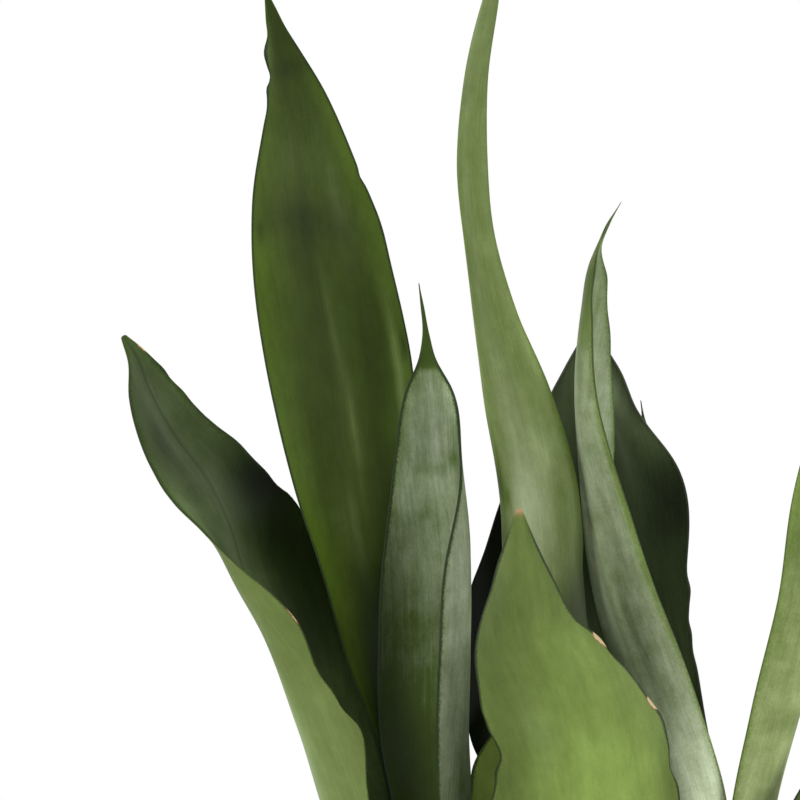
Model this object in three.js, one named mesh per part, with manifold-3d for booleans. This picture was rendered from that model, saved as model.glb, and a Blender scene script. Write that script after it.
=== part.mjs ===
// Potted snake plant with broad silver-green leaves, in a plain round nursery pot.
// Millimetres, +Z up. The origin is the centre of the pot's flat base, and -Y is the plant's front.
import * as THREE from "three";
import { mergeVertices } from "three/addons/utils/BufferGeometryUtils.js";
import Module from "manifold-3d";

// Driving dimensions.
const POT_HEIGHT = 162;
const POT_TOP_RADIUS = 91; // outside of the wall, under the rim
const POT_BASE_RADIUS = 68;
const POT_WALL = 2;
const POT_FLOOR = 3;
const POT_CORNER = 4; // rounding between wall and base
const INNER_CORNER = 3; // and inside, between wall and floor
const RIM_HEIGHT = 14;
const RIM_PROUD = 4;
const DRAIN_HOLES = 8;
const DRAIN_RADIUS = 5;
const DRAIN_RING = 46; // distance of the drain holes from the axis
const SOIL_TOP = 144;
const SOIL_MOUND = 2.5; // the soil stands this much higher round the plant than at the wall
const SOIL_RELIEF = 1.1; // height of its lumps
const SEAT_GAP = 0.3; // between touching pieces
const LEAF_FOOT = 120; // where the leaves meet the rhizome
const LEAF_FREE = 152; // up to here the leaves of a shoot clasp each other upright
const CORE_RADIUS = 6.6; // radius of the innermost leaf's base
const SHEATH_STEP = 4.3; // an older leaf clasps the next younger one from this much further out
const FOOT_WIDTH = 30; // width of the innermost leaf's base
const FOOT_WIDER = 6; // each older base is this much wider
const LEAF_THICK_LOW = 3.2; // midrib thickness at the base
const LEAF_THICK_HIGH = 1.6; // and at the tip
const LEAF_EDGE = 1.0; // thickness of the margin
const WAVE_HEIGHT = 1.3; // how far the margins wave out of the blade's surface
const WAVE_LENGTH = 74;
const RHIZOME_RADIUS = 10;
const RHIZOME_DEPTH = 108; // height of the rhizome's middle
const CROWN_DEEP = 22; // height of a shoot's crown

// Fineness of the faceted solids.
const SPANS_ACROSS = 6;
const SPANS_ALONG = 2; // between two rows of a leaf
const ROUND = 40; // sides of the pot
const DRAIN_SIDES = 16;
const SHOOT_SIDES = 20; // sides of a crown and of the hole that its leaves stand in
const ROOT_SIDES = 7;
const SOIL_RINGS = 9;

const wasm = await Module();
wasm.setup();
const radians = THREE.MathUtils.degToRad;
const degrees = THREE.MathUtils.radToDeg;

const SHOOTS = {
  left: { x: -60, y: 4, leaves: 3 },
  middle: { x: -4, y: -12, leaves: 4 },
  right: { x: 58, y: 3, leaves: 5 },
  pup: { x: 34, y: 50, leaves: 1 },
};

// A leaf's rows run up to its tip. Each holds the midrib's x, y and z, the direction that the inner
// face looks in (degrees from +X), then for the left and the right half of the blade, as seen on the
// inner face, its width and how far it turns round towards the inner side (degrees).
const LEAVES = {
  left_tall: {
    shoot: "left", rank: 1, faces: -55, color: 0x41512a,
    rows: [
      [-69.6, 14.5, 195, -56, 13, 66, 18, 80],
      [-72.6, 16, 249, -58, 20, 60, 20, 60],
      [-85.5, 18, 316, -66, 23.6, 45, 24, 45],
      [-95.3, 18, 375, -78, 28, 32, 28, 32],
      [-105, 17, 438, -86, 31.5, 22, 31.5, 22],
      [-116, 14, 501, -88, 25.5, 22, 25.5, 22],
      [-121.7, 10, 543, -85, 13.7, 25, 13.7, 25],
      [-128.5, 7, 568, -85, 6, 30, 6, 30],
      [-134, 4, 588, -85, 0.8, 30, 0.8, 30],
    ],
  },
  left_outer: {
    shoot: "left", rank: 2, faces: -5, color: 0x5c7040,
    rows: [
      [-110, 2, 249, -5, 33, 96, 44, 75],
      [-118, 3, 276, -12, 40, 118, 46, 58],
      [-125, 4, 297, -17, 31, 104, 46, 51],
      [-133.8, 5, 323, -24, 38.5, 93, 46, 45],
      [-143.9, 5, 344, -31, 31.5, 82, 43, 41],
      [-150.8, 3, 366, -46, 24, 56, 32, 34],
      [-160, 0, 385, -58, 23.2, 38, 20, 28],
      [-172, -4, 401.5, -62, 18.5, 32, 15.8, 28],
      [-182.6, -8, 421, -65, 11.5, 30, 10.5, 30],
      [-188, -11, 435, -65, 4.5, 30, 5, 30],
      [-192.8, -12, 443, -65, 1.5, 20, 1.5, 20],
    ],
  },
  left_young: {
    shoot: "left", rank: 0, faces: -110, color: 0x6a7a55,
    rows: [
      [-54.5, -6, 249, -118, 28, 60, 30, 168],
      [-56.5, -7, 280, -117, 31, 50, 33, 157],
      [-57, -7, 312, -115, 31, 45, 35, 152],
      [-58.3, -8, 354, -108, 27, 35, 33.5, 145],
      [-63.3, -9, 396, -98, 17, 30, 17.5, 82],
      [-65.5, -9, 421, -90, 10.5, 30, 10.5, 40],
      [-66.4, -9, 435, -90, 3.5, 30, 3.5, 30],
      [-66.8, -9, 443, -90, 1.7, 20, 1.7, 20],
      [-69.7, -8, 465, -90, 0.7, 10, 0.7, 10],
    ],
  },
  middle_front: {
    shoot: "middle", rank: 2, faces: 88, color: 0x6e8548,
    rows: [
      [-3, -47, 249, 88, 42.5, 35, 41, 35],
      [-7, -53, 275, 88, 39, 30, 31.3, 30],
      [-14.6, -57, 300, 88, 30, 26, 33.5, 26],
      [-23.6, -59, 321, 87, 20, 25, 25, 25],
      [-27, -61, 342, 86, 12.5, 25, 14.5, 25],
      [-28.6, -61, 356, 86, 7.5, 25, 8, 25],
      [-29.4, -61, 372, 86, 1.5, 20, 1.5, 20],
    ],
  },
  middle_tall: {
    shoot: "middle", rank: 0, faces: 75, color: 0x75865a,
    rows: [
      [-9, -22, 249, 75, 20, 60, 20, 60],
      [-19.2, -22, 333, 74, 20, 55, 18.8, 55],
      [-23.8, -22, 383, 74, 20.3, 55, 18.8, 55],
      [-30.7, -21, 417, 74, 17.5, 55, 16, 55],
      [-39.8, -19, 451, 74, 11.5, 55, 10.5, 55],
      [-45.7, -17, 484, 74, 8.2, 55, 7, 55],
      [-48.8, -15, 516, 74, 8, 55, 7.2, 55],
      [-46.6, -13, 551, 74, 5.9, 55, 5.9, 55],
      [-39.9, -11, 585, 74, 3.7, 50, 3.7, 50],
      [-35, -9, 604, 74, 0.8, 30, 0.8, 30],
    ],
  },
  middle_back: {
    shoot: "middle", rank: 3, faces: -85, foot: 36, color: 0x1f2c17,
    rows: [
      [-14, 20, 249, -85, 22, 35, 22, 35],
      [-23, 20, 283, -85, 27, 30, 27, 30],
      [-25.5, 21, 320, -85, 27.5, 25, 27.5, 25],
      [-25, 22, 350, -85, 18.5, 25, 18.5, 25],
      [-24.6, 22, 375, -85, 10.5, 25, 9, 25],
      [-23, 23, 398, -85, 0.8, 20, 0.8, 20],
    ],
  },
  middle_short: {
    shoot: "middle", rank: 1, faces: -95, foot: 26, color: 0x435524,
    rows: [
      [-28, 2, 230, -85, 20, 35, 18, 35],
      [-30, 3, 250, -85, 18, 30, 17, 30],
      [-30, 4, 268, -85, 14, 25, 12, 25],
      [-28, 5, 282, -85, 6, 25, 6, 25],
      [-26.5, 5, 292, -85, 0.8, 20, 0.8, 20],
    ],
  },
  right_young: {
    shoot: "right", rank: 0, faces: 50, color: 0x7c8a64,
    rows: [
      [39, -8, 249, 55, 21, 85, 21.5, 80],
      [24.5, -12, 291, 50, 22.5, 60, 23, 70],
      [9.7, -14, 333, 40, 21.5, 65, 25, 70],
      [0.4, -14, 375, 20, 20.5, 65, 33, 84],
      [-4, -14, 417, -7, 21, 60, 26, 69],
      [-1, -13, 455, -15, 14, 60, 15, 62],
      [2, -12, 473, -15, 8, 60, 9, 60],
      [5.5, -11, 482, -10, 2, 40, 2, 40],
      [9, -10, 490, -10, 1.2, 20, 1.2, 20],
      [14.3, -9, 499, -10, 0.7, 10, 0.7, 10],
    ],
  },
  right_outer: {
    shoot: "right", rank: 3, faces: 150, color: 0x7a8c52,
    rows: [
      [77.6, -2, 249, 150, 26, 70, 20, 60],
      [86.1, -3, 283, 150, 28, 60, 22.2, 56],
      [97.4, -5, 330, 150, 27.5, 50, 24, 46],
      [104.8, -6, 375, 145, 25, 45, 23.6, 44],
      [109.5, -8, 420, 145, 15, 45, 15, 45],
      [107, -9, 459, 145, 1, 30, 1, 30],
    ],
  },
  right_back: {
    shoot: "right", rank: 2, faces: -90, color: 0x29321f,
    rows: [
      [37, 26, 249, -92, 23, 40, 23, 40],
      [26.5, 28, 283, -92, 27, 30, 27, 30],
      [15.5, 30, 330, -92, 29.5, 25, 30.5, 25],
      [9.5, 30, 379, -92, 32, 22, 34.5, 22],
      [4, 29, 413, -92, 21.5, 22, 19.5, 22],
      [3.5, 28, 429, -92, 12.5, 22, 13.5, 22],
      [3.5, 27, 446, -92, 2.5, 20, 2.5, 20],
    ],
  },
  right_low: {
    shoot: "right", rank: 4, faces: 172, color: 0x36451f,
    rows: [
      [84, -6, 190, 168, 22, 50, 20, 45],
      [88, -7, 225, 165, 18, 38, 18, 38],
      [90.5, -8, 246, 165, 12, 35, 12, 35],
      [93.5, -8.5, 254.5, 165, 8.5, 30, 8.5, 30],
      [101, -9, 270, 165, 1, 20, 1, 20],
    ],
  },
  pup_spear: {
    shoot: "pup", rank: 0, faces: -120, color: 0x41502b,
    rows: [
      [30, 50, 249, -110, 17, 70, 17, 70],
      [29, 54, 330, -105, 19, 45, 19, 45],
      [29, 57, 375, -100, 12, 35, 12, 35],
      [28.5, 58, 401, -100, 2.6, 30, 2.6, 30],
      [27.8, 59, 409, -100, 1, 20, 1, 20],
      [26.9, 60, 416, -100, 0.7, 10, 0.7, 10],
    ],
  },
};

const sheathRadius = (rank) => CORE_RADIUS + rank * SHEATH_STEP;

// The upright rows of a leaf's base: an arc round the axis of its shoot.
function footRows({ shoot, rank, faces, foot = FOOT_WIDTH + rank * FOOT_WIDER }) {
  const radius = sheathRadius(rank);
  const turn = degrees(foot / 2 / radius);
  const x = SHOOTS[shoot].x - radius * Math.cos(radians(faces));
  const y = SHOOTS[shoot].y - radius * Math.sin(radians(faces));
  return [LEAF_FOOT, LEAF_FREE].map((z) => [x, y, z, faces, foot / 2, turn, foot / 2, turn]);
}

// A smooth cubic through all columns of the rows, with the midrib's length as its parameter.
// It gives the columns' values at a share of the way from one row to the next.
function smoothRows(rows) {
  const spans = rows.slice(1).map((row, i) => Math.hypot(...[0, 1, 2].map((k) => row[k] - rows[i][k])));
  const slopes = rows.map((row, i) => row.map((value, k) => {
    const before = i > 0 ? (value - rows[i - 1][k]) / spans[i - 1] : null;
    const after = i < spans.length ? (rows[i + 1][k] - value) / spans[i] : null;
    if (before === null) return after;
    if (after === null) return before;
    return (before * spans[i] + after * spans[i - 1]) / (spans[i - 1] + spans[i]);
  }));
  return (i, f) => rows[i].map((value, k) => (
    (2 * f ** 3 - 3 * f ** 2 + 1) * value
    + (3 * f ** 2 - 2 * f ** 3) * rows[i + 1][k]
    + spans[i] * ((f ** 3 - 2 * f ** 2 + f) * slopes[i][k] + (f ** 3 - f ** 2) * slopes[i + 1][k])));
}

// One cross-section of the blade: the inner face's points from left to right, then the outer's back.
function bladeSection([x, y, z, faces, left, leftTurn, right, rightTurn], along, rise, wave) {
  const inward = new THREE.Vector3(Math.cos(radians(faces)), Math.sin(radians(faces)), 0);
  inward.addScaledVector(along, -inward.dot(along)).normalize();
  const side = new THREE.Vector3().crossVectors(along, inward);
  const rib = Math.min(
    THREE.MathUtils.lerp(LEAF_THICK_LOW, LEAF_THICK_HIGH, rise), LEAF_EDGE + (left + right) * 0.15);
  const inner = [];
  const outer = [];
  for (let j = 0; j <= SPANS_ACROSS; j++) {
    const c = (2 * j) / SPANS_ACROSS - 1;
    const angle = c * radians(c < 0 ? leftTurn : rightTurn);
    const radius = (c < 0 ? left : right) / radians(c < 0 ? leftTurn : rightTurn);
    const normal = inward.clone().multiplyScalar(Math.cos(angle)).addScaledVector(side, -Math.sin(angle));
    const middle = new THREE.Vector3(x, y, z)
      .addScaledVector(side, radius * Math.sin(angle))
      .addScaledVector(inward, radius * (1 - Math.cos(angle)))
      .addScaledVector(normal, wave * c * Math.abs(c));
    const half = (LEAF_EDGE + (rib - LEAF_EDGE) * (1 - c * c)) / 2;
    inner.push(middle.clone().addScaledVector(normal, half));
    outer.unshift(middle.clone().addScaledVector(normal, -half));
  }
  return [...inner, ...outer];
}

// Joins cross-sections into a closed skin, with the same diagonals on both faces of the blade.
function bladeSkin(sections) {
  const loop = sections[0].length;
  const faces = [];
  for (let r = 0; r < sections.length - 1; r++) {
    for (let j = 0; j < loop; j++) {
      const a = r * loop + j;
      const b = r * loop + ((j + 1) % loop);
      if (j < SPANS_ACROSS) faces.push(a, b, a + loop, b, b + loop, a + loop);
      else faces.push(a, b, b + loop, a, b + loop, a + loop);
    }
  }
  const end = (sections.length - 1) * loop;
  for (let j = 0; j < SPANS_ACROSS; j++) {
    const quad = [j, j + 1, loop - 2 - j, loop - 1 - j];
    const [a, b, c, d] = quad;
    faces.push(a, d, b, b, d, c);
    faces.push(a + end, b + end, d + end, b + end, c + end, d + end);
  }
  const geometry = new THREE.BufferGeometry().setFromPoints(sections.flat());
  geometry.setIndex(faces);
  geometry.computeVertexNormals();
  return geometry;
}

function leafGeometry(leaf, phase) {
  const rows = [...footRows(leaf), ...leaf.rows];
  const at = smoothRows(rows);
  const step = 0.02;
  const sections = [];
  for (let n = 0; n <= (rows.length - 1) * SPANS_ALONG; n++) {
    const i = Math.min(Math.floor(n / SPANS_ALONG), rows.length - 2);
    const f = n / SPANS_ALONG - i;
    const row = at(i, f);
    const before = at(i, Math.max(f - step, 0));
    const after = at(i, Math.min(f + step, 1));
    const along = new THREE.Vector3(...[0, 1, 2].map((k) => after[k] - before[k])).normalize();
    const rise = (row[2] - LEAF_FOOT) / (rows.at(-1)[2] - LEAF_FOOT);
    const swell = THREE.MathUtils.smoothstep(row[2], LEAF_FREE, LEAF_FREE + WAVE_LENGTH) * (1 - rise);
    const wave = WAVE_HEIGHT * swell * Math.sin((2 * Math.PI * row[2]) / WAVE_LENGTH + phase);
    sections.push(bladeSection(row, along, rise, wave));
  }
  return bladeSkin(sections);
}

// Geometry to solid and back, for cutting and joining.
function toSolid(geometry) {
  const bare = geometry.clone();
  bare.deleteAttribute("normal");
  bare.deleteAttribute("uv");
  const merged = mergeVertices(bare, 1e-4);
  const index = [...merged.index.array];
  const triangles = [];
  for (let i = 0; i < index.length; i += 3) {
    const [a, b, c] = index.slice(i, i + 3);
    if (a !== b && b !== c && c !== a) triangles.push(a, b, c);
  }
  return new wasm.Manifold(new wasm.Mesh({
    numProp: 3,
    vertProperties: new Float32Array(merged.attributes.position.array),
    triVerts: new Uint32Array(triangles),
  }));
}

function toGeometry(solid) {
  const mesh = solid.getMesh();
  const geometry = new THREE.BufferGeometry();
  geometry.setAttribute("position", new THREE.BufferAttribute(mesh.vertProperties, 3));
  geometry.setIndex(new THREE.BufferAttribute(mesh.triVerts, 1));
  geometry.computeVertexNormals();
  return geometry;
}

const turned = (profile, segments) => new THREE.LatheGeometry(
  profile.map(([r, z]) => new THREE.Vector2(r, z)), segments).rotateX(Math.PI / 2);

const upright = (radius, low, high, sides) => new THREE.CylinderGeometry(radius, radius, high - low, sides)
  .rotateX(Math.PI / 2).translate(0, 0, (low + high) / 2);

// The wall's outer radius at a height.
const wallRadius = (z) => (
  POT_BASE_RADIUS + ((POT_TOP_RADIUS - POT_BASE_RADIUS) * z) / (POT_HEIGHT - RIM_HEIGHT));

function pot() {
  const shoulder = POT_HEIGHT - RIM_HEIGHT;
  const rim = POT_TOP_RADIUS + RIM_PROUD;
  const lip = POT_WALL / 2;
  const corner = [0, 30, 60, 90].map(radians).map((a) => [
    wallRadius(POT_CORNER) - POT_CORNER * (1 - Math.sin(a)), POT_CORNER * (1 - Math.cos(a))]);
  const roundLip = [0, 45, 90, 135, 180].map(radians).map((a) => [
    rim - lip + lip * Math.cos(a), POT_HEIGHT - lip + lip * Math.sin(a)]);
  let solid = toSolid(turned([
    [0, 0],
    ...corner,
    [POT_TOP_RADIUS, shoulder - lip],
    [rim, shoulder],
    ...roundLip,
    [rim - POT_WALL, shoulder + POT_WALL],
    [wallRadius(shoulder + POT_WALL) - POT_WALL, shoulder + POT_WALL],
    [wallRadius(POT_FLOOR + INNER_CORNER) - POT_WALL, POT_FLOOR + INNER_CORNER],
    [wallRadius(POT_FLOOR) - POT_WALL - INNER_CORNER, POT_FLOOR],
    [0, POT_FLOOR],
  ], ROUND));
  for (let i = 0; i < DRAIN_HOLES; i++) {
    const angle = ((i + 0.5) / DRAIN_HOLES) * 2 * Math.PI;
    const drain = upright(DRAIN_RADIUS, -1, POT_FLOOR + 1, DRAIN_SIDES)
      .translate(DRAIN_RING * Math.cos(angle), DRAIN_RING * Math.sin(angle), 0);
    solid = solid.subtract(toSolid(drain));
  }
  return toGeometry(solid);
}

// A tapered bar of round section along a smooth path, closed at both ends.
function root(points, thick, thin, grow) {
  const path = new THREE.CatmullRomCurve3(points.map((p) => new THREE.Vector3(...p)));
  const steps = 2 * (points.length - 1);
  const frames = path.computeFrenetFrames(steps);
  const verts = [];
  for (let i = 0; i <= steps; i++) {
    const middle = path.getPointAt(i / steps).addScaledVector(frames.tangents[i], i === 0 ? -grow : 0);
    const radius = THREE.MathUtils.lerp(thick, thin, i / steps) + grow;
    for (let k = 0; k < ROOT_SIDES; k++) {
      const a = (k / ROOT_SIDES) * 2 * Math.PI;
      verts.push(middle.clone()
        .addScaledVector(frames.normals[i], radius * Math.cos(a))
        .addScaledVector(frames.binormals[i], radius * Math.sin(a)));
    }
  }
  verts.push(path.getPointAt(0).addScaledVector(frames.tangents[0], -grow));
  verts.push(path.getPointAt(1).addScaledVector(frames.tangents[steps], thin * 0.6 + grow));
  const start = verts.length - 2;
  const last = steps * ROOT_SIDES;
  const faces = [];
  for (let k = 0; k < ROOT_SIDES; k++) {
    const next = (k + 1) % ROOT_SIDES;
    for (let i = 0; i < last; i += ROOT_SIDES) {
      const above = i + ROOT_SIDES;
      faces.push(i + k, i + next, above + k, i + next, above + next, above + k);
    }
    faces.push(start, next, k, start + 1, last + k, last + next);
  }
  const geometry = new THREE.BufferGeometry().setFromPoints(verts);
  geometry.setIndex(faces);
  return toSolid(geometry);
}

// The creeping underground stem that carries the shoots: a crown under each shoot, the stem from
// crown to crown, and roots. The soil is cut by the same shapes grown by the gap.
function rhizomeSolid(grow) {
  const { left, middle, right, pup } = SHOOTS;
  const crowns = Object.values(SHOOTS).map(({ x, y, leaves }) => {
    const wide = sheathRadius(leaves - 1) + LEAF_THICK_LOW / 2 + grow;
    const top = LEAF_FOOT - SEAT_GAP;
    const low = top - CROWN_DEEP - grow;
    return toSolid(turned([
      [0, low],
      [wide * 0.6, low + CROWN_DEEP * 0.1],
      [wide * 0.95, low + CROWN_DEEP * 0.5],
      [wide, top],
      [0, top],
    ], SHOOT_SIDES).translate(x, y, 0));
  });
  const deep = RHIZOME_DEPTH;
  const stems = [
    [[left.x, left.y, deep], [-32, -2, deep - 4], [middle.x, middle.y, deep]],
    [[middle.x, middle.y, deep], [26, -9, deep - 4], [right.x, right.y, deep]],
    [[right.x, right.y, deep], [50, 30, deep - 3], [pup.x, pup.y, deep]],
  ].map((points) => root(points, RHIZOME_RADIUS, RHIZOME_RADIUS * 0.8, grow));
  const roots = [
    [[-62, 2, 104], [-68, -8, 80], [-58, -20, 52], [-46, -24, 26]],
    [[-56, 10, 104], [-58, 28, 84], [-44, 40, 58], [-36, 34, 30]],
    [[-6, -18, 104], [-14, -38, 84], [-8, -50, 56], [4, -46, 24]],
    [[-2, -6, 104], [-10, 16, 82], [-6, 28, 54], [-16, 30, 22]],
    [[2, -12, 102], [8, -16, 78], [2, -20, 50], [10, -14, 20]],
    [[60, -4, 104], [62, -22, 82], [46, -34, 56], [40, -30, 28]],
    [[62, 8, 104], [64, 22, 80], [54, 30, 54], [44, 26, 26]],
    [[32, 54, 104], [22, 62, 82], [14, 56, 58], [12, 48, 34]],
  ].map((points) => root(points, 3.4, 1.4, grow));
  return [...crowns, ...stems, ...roots].reduce((sum, solid) => sum.add(solid));
}

// The soil's surface: a low mound with lumps.
function soilHeight(x, y) {
  const reach = Math.hypot(x, y) / POT_TOP_RADIUS;
  const broad = Math.sin(x * 0.21 + 1.3) * Math.cos(y * 0.17 - 0.6);
  const lumps = broad + 0.6 * Math.sin(x * 0.11 - y * 0.27 + 2.1);
  return SOIL_TOP + SOIL_MOUND * (1 - reach ** 2) + SOIL_RELIEF * lumps * Math.min(1, 4 * (1 - reach));
}

function soil() {
  const inside = (z) => wallRadius(z) - POT_WALL - SEAT_GAP;
  const low = POT_FLOOR + SEAT_GAP;
  const profile = [
    [0, low],
    [inside(low) - INNER_CORNER, low],
    [inside(low + INNER_CORNER), low + INNER_CORNER],
  ];
  for (let i = SOIL_RINGS; i >= 0; i--) profile.push([(inside(SOIL_TOP) * i) / SOIL_RINGS, SOIL_TOP]);
  const body = turned(profile, ROUND);
  const points = body.attributes.position;
  for (let i = 0; i < points.count; i++) {
    if (points.getZ(i) > SOIL_TOP - 1) points.setZ(i, soilHeight(points.getX(i), points.getY(i)));
  }
  let solid = toSolid(body);
  for (const { x, y, leaves } of Object.values(SHOOTS)) {
    const radius = sheathRadius(leaves - 1) + LEAF_THICK_LOW / 2 + 2 * SEAT_GAP;
    const hole = upright(radius, LEAF_FOOT - 2, LEAF_FREE, SHOOT_SIDES).translate(x, y, 0);
    solid = solid.subtract(toSolid(hole));
  }
  return toGeometry(solid.subtract(rhizomeSolid(SEAT_GAP)));
}

const group = new THREE.Group();

function place(name, geometry, color, roughness, metalness = 0) {
  const mesh = new THREE.Mesh(geometry, new THREE.MeshStandardMaterial({ color, roughness, metalness }));
  mesh.name = name;
  group.add(mesh);
}

place("pot", pot(), 0x232524, 0.55);
place("soil", soil(), 0x33261b, 0.95);
place("rhizome", toGeometry(rhizomeSolid(0)), 0xb98a4e, 0.7);
Object.entries(LEAVES).forEach(([name, leaf], i) => {
  place(`leaf_${name}`, leafGeometry(leaf, i * 1.7), leaf.color, 0.4);
});

export default group;
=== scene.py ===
"""The looks of a potted snake plant: leathery leaves, potting mix and a plain nursery pot.

Lengths are in millimetres, as in the solids, and become metres when a mesh is made. The camera, the
lights, the floor and the patterns of the pot and the soil are in metres.
"""
import math

import bpy
import numpy as np
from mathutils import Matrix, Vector, noise


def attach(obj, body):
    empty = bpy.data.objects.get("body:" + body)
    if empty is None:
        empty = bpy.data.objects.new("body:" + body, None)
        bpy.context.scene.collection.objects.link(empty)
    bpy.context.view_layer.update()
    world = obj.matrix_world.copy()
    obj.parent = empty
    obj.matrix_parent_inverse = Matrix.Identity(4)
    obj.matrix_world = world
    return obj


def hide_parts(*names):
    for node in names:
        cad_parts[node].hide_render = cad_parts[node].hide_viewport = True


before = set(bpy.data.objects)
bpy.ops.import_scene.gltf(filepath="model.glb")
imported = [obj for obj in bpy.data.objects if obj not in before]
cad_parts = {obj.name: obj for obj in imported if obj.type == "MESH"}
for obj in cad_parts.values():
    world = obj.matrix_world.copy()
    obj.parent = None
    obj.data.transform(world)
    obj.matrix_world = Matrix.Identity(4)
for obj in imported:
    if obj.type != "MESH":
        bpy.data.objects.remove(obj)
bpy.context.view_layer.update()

MM = 0.001

# Camera: level and square on to the plant's front. The picture's width is taken at the pot's axis.
CAMERA_PLACE = (-0.0777, -1.8, 0.417)
PICTURE_WIDTH = 0.336
CAMERA_SENSOR = 36.0  # millimetres

# Lights: place and aim, side of the square, and power in watts.
LIGHTS = {
    "left": ((-3.4, -1.8, 0.7), (-0.03, 0.0, 0.3), 1.8, 68.0),
    "right": ((3.4, -1.6, 0.7), (0.0, 0.0, 0.3), 1.8, 68.0),
    "front": ((-0.2, -5.2, 1.5), (-0.03, 0.0, 0.3), 2.4, 30.0),
    "top": ((0.0, -0.2, 3.6), (0.0, 0.0, 0.4), 2.0, 24.0),
}
AMBIENT = 0.27  # even light round the plant
GLOW = 1.0  # what shiny surfaces see round the plant
BACKGROUND = 1.0  # what the camera sees round the plant
FLOOR_RADIUS = 2.4
FLOOR_SIDES = 128

# Pot and soil, as in the solids.
POT_HEIGHT = 162
POT_TOP_RADIUS = 91
POT_BASE_RADIUS = 68
POT_WALL = 2
POT_FLOOR = 3
POT_CORNER = 4
INNER_CORNER = 3
RIM_HEIGHT = 14
RIM_PROUD = 4
DRAIN_HOLES = 8
DRAIN_RADIUS = 5
DRAIN_RING = 46
SOIL_TOP = 144
SOIL_MOUND = 2.5
SOIL_RELIEF = 1.1
SEAT_GAP = 0.3

# Lumps of the soil, as in the solids: how fast each wave turns over x and y (radians for each
# millimetre), where it starts, and how steeply the lumps fade out towards the pot.
LUMP_ALONG_X = (0.21, 1.3)
LUMP_ALONG_Y = (0.17, -0.6)
LUMP_SLANTING = (0.11, -0.27, 2.1)
SLANTING_SHARE = 0.6
LUMP_FADE = 4

# What only the finer pot and soil have.
POT_SIDES = 192
DRAIN_SIDES = 40
FLOOR_RINGS = (20, 36, 56)  # on both sides of the drain holes
SHOULDER_ROUND = 1.2
WALL_LOW = 12  # height of the wall's lowest ring
OUTSIDE_RINGS = 12
OUTSIDE_END = 8  # below the rim
INSIDE_RINGS = 8
INSIDE_END = 4  # below the rim
DRILL_PAST = 1  # how far the drill goes past the floor's faces
SHARP_ANGLE = 50
SOIL_SIDES = 224
SOIL_RINGS = 44
SOIL_ROUGH = 1.4  # height of the soil's fine unevenness
ROUGH_SCALE = 0.16
ROUGH_LAYER = 3.0
ROUGH_FRACTAL = (0.9, 2.1, 5)  # dimension, lacunarity and octaves
ROUGH_AT_POT = 0.3
ROUGH_FADE = 6
POT_DUST = (0.1, 0.146, 0.158)  # metres: where it starts, is thickest and ends

# Leaves, as in the solids.
LEAF_FOOT = 120
LEAF_FREE = 152
CORE_RADIUS = 6.6
SHEATH_STEP = 4.3
FOOT_WIDTH = 30
FOOT_WIDER = 6
LEAF_THICK_LOW = 3.2
LEAF_THICK_HIGH = 1.6
LEAF_EDGE = 1.0
THICK_PER_WIDTH = 0.15  # the most that the midrib is thicker than the margin, for the blade's width
WAVE_HEIGHT = 1.3
WAVE_LENGTH = 74
PHASE_STEP = 1.7  # from one leaf's waves to the next leaf's

# What only the finer leaves have.
ROW_STEP = 2.0
SPANS_ACROSS = 40
EDGE_ROUND = 0.5
TIP_ROUND = 1.0
TIP_RINGS = (30, 55, 75)  # degrees up the round tip
BUCKLE = 0.22  # height of the blade's soft unevenness
BUCKLE_WAVES = ((9.1, 3.1, 1), (14.3, -4.7, 2))  # length, turn across the blade, share of the phase
NICK_POWER = 8  # how closely a nick keeps to the margin
SPIKE_TAPER = 0.65  # how much narrower a spike's end is than in the solids
SPIKE_END = 12  # how long that end is

# What the leaves' skin reads from their points.
BARE_STOPS = -1.0  # how much darker a spike without bloom is
BARE_BLEND = (-2, 3)  # over which heights the bloom ends there
NO_BARE = 1000  # a height above all leaves
NO_SCAR = -2.0  # a scar's depth where there is none
LINE_WIDTHS = (1.5, 7)  # between these half widths of the blade its dark margin line comes in
DUST_HEIGHTS = (LEAF_FREE - 10, LEAF_FREE + 45)

# Noise on the leaves: how fine across and along the blade (for each millimetre), detail, roughness.
LEAF_NOISE = {
    "fine": (1.6, 0.03, 3.0, 0.5),
    "broad": (0.14, 0.006, 2.0, 0.5),
    "mottle": (0.3, 0.1, 6.0, 0.65),
    "blotch": (0.07, 0.05, 5.0, 0.6),
    "cross": (0.05, 0.12, 6.0, 0.7),
    "speckle": (1.5, 0.9, 2.0, 0.5),
}
# How much each noise changes the tone (stops) and the bloom. A leaf's own streaks and bands add to it.
TONE_NOISE = {"broad": 0.6, "blotch": 0.5, "mottle": 0.7, "speckle": 0.25}
BLOOM_NOISE = {"broad": 0.6, "blotch": 1.0, "fine": 0.7, "mottle": 1.0}
BLOOM_BANDS = {"cross": 3.0, "speckle": 2.0}
FACE_SEED = 40.0
LEAF_SEED = 13.7

# Where things lie on a leaf, from its midrib or its margin, and how much the speckle frays them.
# The first is where the painted shade in the midrib's groove fades out.
GROOVE_SHADE_REACH = (0.1, 1.2)
BLOOM_REACH = (0.48, 2.4)
BLOOM_FRAY = 3.2
LINE_CORE = 0.4
LINE_SOFT = 0.1
LINE_STRENGTH = 0.9
LINE_FRAY = 1.0
SCAR_RIM = (-0.6, -0.2)
SCAR_BODY = (-0.15, 0.15)
SCAR_FRAY = 1.2
DUST_SPECKS = (0.35, 0.75)

# The leaves' surface.
LEAF_ROUGH = 0.38
BLOOM_ROUGH = 0.12
STREAK_ROUGH = 0.12
RIDGE_SHARES = (0.7, 0.3)  # of the fine streaks and of the speckle
LEAF_SPECULAR = 0.12

# Shoots: the place of each one's axis.
SHOOTS = {
    "left": (-60, 4),
    "middle": (-4, -12),
    "right": (58, 3),
    "pup": (34, 50),
}


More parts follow.
